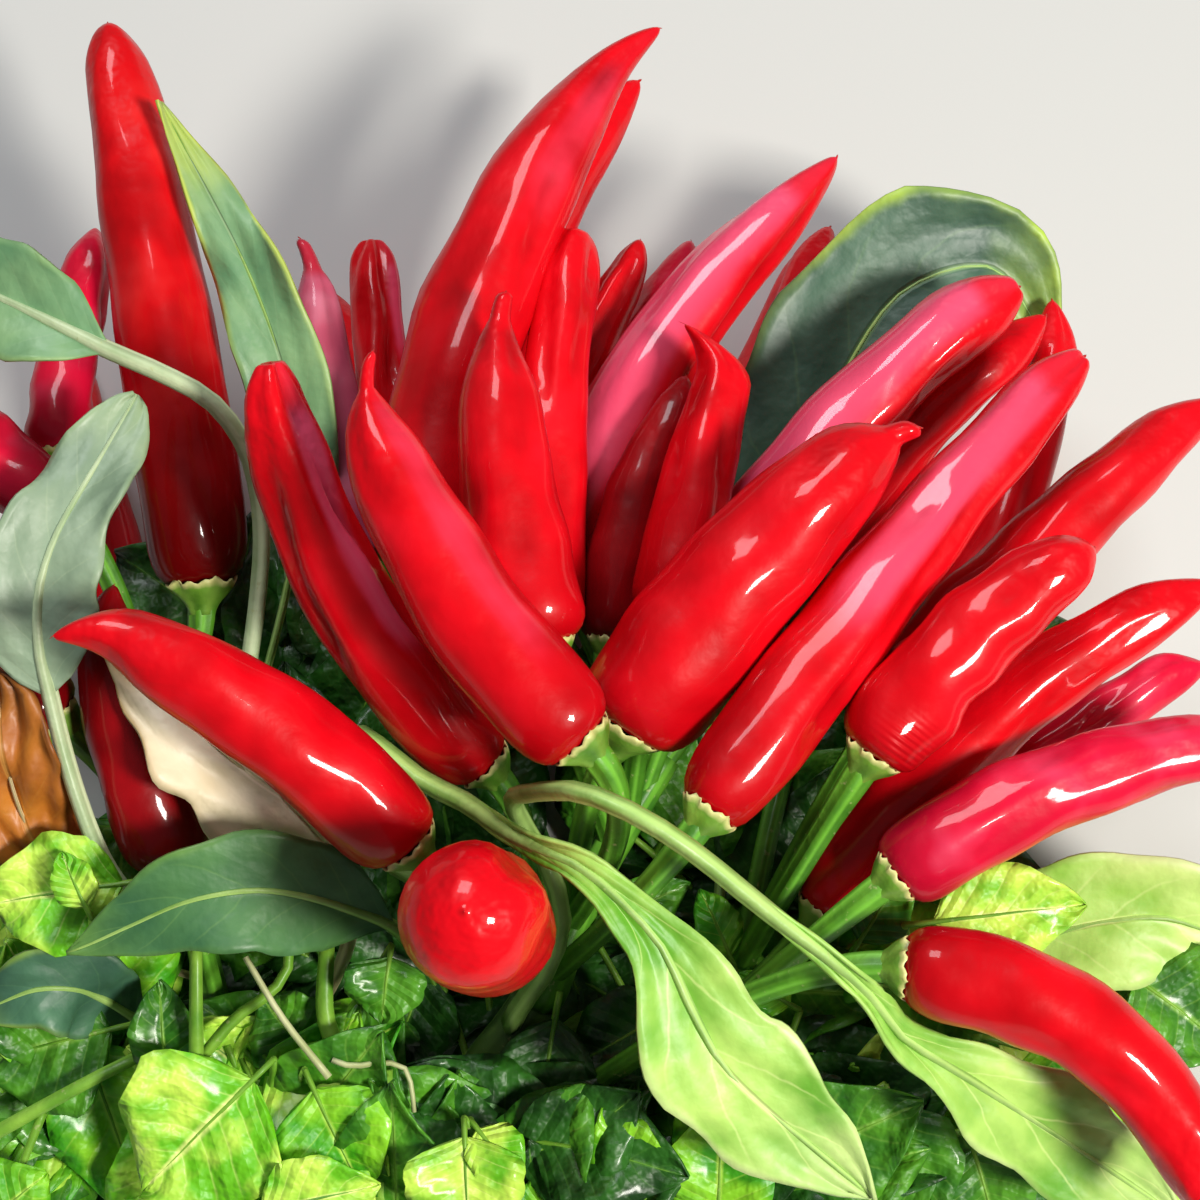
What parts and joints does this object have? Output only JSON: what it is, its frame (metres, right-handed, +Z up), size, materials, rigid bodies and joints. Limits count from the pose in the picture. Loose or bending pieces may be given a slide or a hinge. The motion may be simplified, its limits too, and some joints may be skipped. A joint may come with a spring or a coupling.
{
  "type": "cut fruiting branch of a chilli pepper plant",
  "caption": "Cut green branch with two crowded crowns of upright red chillies on long stalks, single long-stalked leaves and leafy shoots, lying on its back.",
  "frame": {"origin": "centre of the bounding box in plan, at the level of the surface that the branch lies on", "axes": "+X to the right of the branch as seen from above with its cut end toward the viewer, +Y from the cut end toward the fruit tips, +Z up from the surface"},
  "size_m": [0.1932, 0.1822, 0.087],
  "materials": {
    "ripe_skin": "glossy ripe chilli skin",
    "green_stem": "smooth ridged green stem",
    "green_stalk": "smooth ribbed green stalk and calyx",
    "leaf": "soft leaf",
    "shoot": "soft young leaf"
  },
  "bodies": {
    "root": {"main_stem": "green_stem", "limb_right": "green_stem", "limb_left": "green_stem", "stalks_right": "green_stalk", "stalks_left": "green_stalk", "stalks_far_right": "green_stalk", "chilli_front_low_left": "ripe_skin", "chilli_front_left": "ripe_skin", "chilli_front_middle": "ripe_skin", "chilli_tall": "ripe_skin", "chilli_upright": "ripe_skin", "chilli_blunt": "ripe_skin", "chilli_long_pink": "ripe_skin", "chilli_behind_pink": "ripe_skin", "chilli_curled": "ripe_skin", "chilli_inner": "ripe_skin", "chilli_upper_right": "ripe_skin", "chilli_front_stout": "ripe_skin", "chilli_front_long": "ripe_skin", "chilli_right_tucked": "ripe_skin", "chilli_end_on": "ripe_skin", "chilli_behind_tall": "ripe_skin", "chilli_back_short": "ripe_skin", "chilli_left_mauve": "ripe_skin", "chilli_left_back": "ripe_skin", "chilli_rear_left": "ripe_skin", "chilli_rear_middle": "ripe_skin", "chilli_rear_right": "ripe_skin", "chilli_right_slim": "ripe_skin", "chilli_ridged": "ripe_skin", "chilli_right_long": "ripe_skin", "chilli_right_arched": "ripe_skin", "chilli_right_level": "ripe_skin", "chilli_drooping": "ripe_skin", "chilli_right_small": "ripe_skin", "chilli_rear_far_right": "ripe_skin", "chilli_left_tall": "ripe_skin", "chilli_left_rose": "ripe_skin", "chilli_left_edge": "ripe_skin", "chilli_left_shaded": "ripe_skin", "chilli_left_dark": "ripe_skin", "chilli_rear_far_left": "ripe_skin", "leaf_grey_left": "leaf", "leaf_tall_left": "leaf", "leaf_left_edge": "leaf", "leaf_broad_back": "leaf", "leaf_cream": "leaf", "leaf_rust": "leaf", "leaf_dark_left": "leaf", "leaf_blue_left": "leaf", "leaf_arching": "leaf", "leaf_trailing": "leaf", "leaf_pale_right": "leaf", "foliage_low_left": "shoot", "foliage_far_left": "shoot", "foliage_low_middle": "shoot", "foliage_far_right": "shoot", "foliage_low_right": "shoot", "foliage_rear_left": "shoot", "foliage_rear_right": "shoot"}
  },
  "joints": []
}
